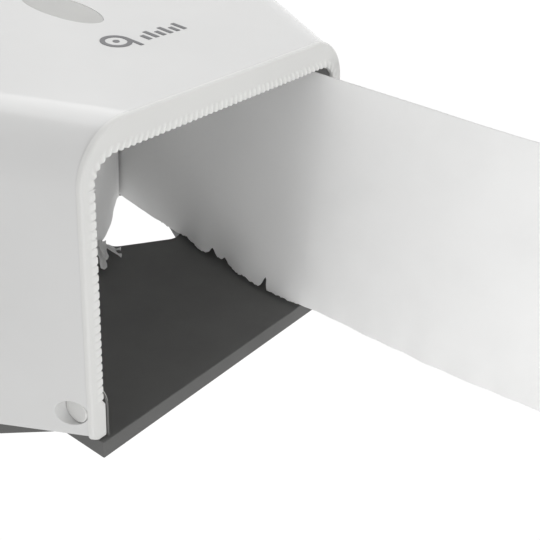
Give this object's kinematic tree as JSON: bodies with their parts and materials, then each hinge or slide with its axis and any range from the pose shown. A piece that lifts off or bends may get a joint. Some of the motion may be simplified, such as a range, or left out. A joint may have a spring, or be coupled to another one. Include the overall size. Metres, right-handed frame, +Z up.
{
  "type": "wall-mounted paper roll dispenser",
  "caption": "Wall-mounted dispenser for a large paper roll, with a bottom-hinged white drum cover, serrated outlet, cam lock, grey base plate and hanging paper.",
  "frame": {"origin": "centre of the wall screw pattern on the wall plane, on the axis of the paper roll", "axes": "+Z up, +Y into the wall, +X to the right of a person who faces the dispenser"},
  "size_m": [0.2524, 0.1205, 0.4042],
  "materials": {
    "cover_white": "glossy moulded ABS",
    "lip_white": "semi-gloss moulded ABS",
    "base_grey": "satin dark grey ABS",
    "smoke_window": "smoke-grey translucent",
    "print_grey": "printed ink",
    "bush_plastic": "natural acetal",
    "steel": "zinc-plated steel",
    "lock_metal": "chromed zinc",
    "cardboard": "matt wound board",
    "paper": "soft matt tissue"
  },
  "bodies": {
    "base": {"base_plate": "base_grey", "hub_flange": "base_grey", "hub_screws": "steel", "spindle_post": "base_grey", "post_washer": "steel", "post_screw": "steel", "hinge_bush_left": "bush_plastic", "hinge_bush_right": "bush_plastic", "catch_plate": "steel", "catch_screws": "steel", "paper_web": "paper", "paper_tail": "paper"},
    "cover": {"cover_shell": "cover_white", "tear_frame": "lip_white", "window_lens": "smoke_window", "printed_mark": "print_grey", "hinge_pin_left": "lip_white", "hinge_pin_right": "lip_white", "lock_housing": "lock_metal", "lock_nut": "steel"},
    "lock": {"lock_barrel": "lock_metal", "lock_cam": "steel", "cam_screw": "steel"},
    "roll": {"core_adapter": "base_grey", "adapter_rings": "base_grey", "core_tube": "cardboard", "paper_roll": "paper", "torn_paper": "paper"}
  },
  "joints": [
    {"name": "cover_hinge", "type": "hinge", "parent": "base", "child": "cover", "pos_m": [0, -0.0179, -0.1428], "axis": [1, 0, 0], "range_deg": [0, 90], "deforming": ["paper_tail"]},
    {"name": "lock_turn", "type": "hinge", "parent": "cover", "child": "lock", "pos_m": [0, -0.032, 0.12], "axis": [0, 0, 1], "range_deg": [0, 90]},
    {"name": "roll_spin", "type": "hinge", "parent": "base", "child": "roll", "pos_m": [0, -0.05, 0], "axis": [0, 1, 0], "continuous": true}
  ]
}
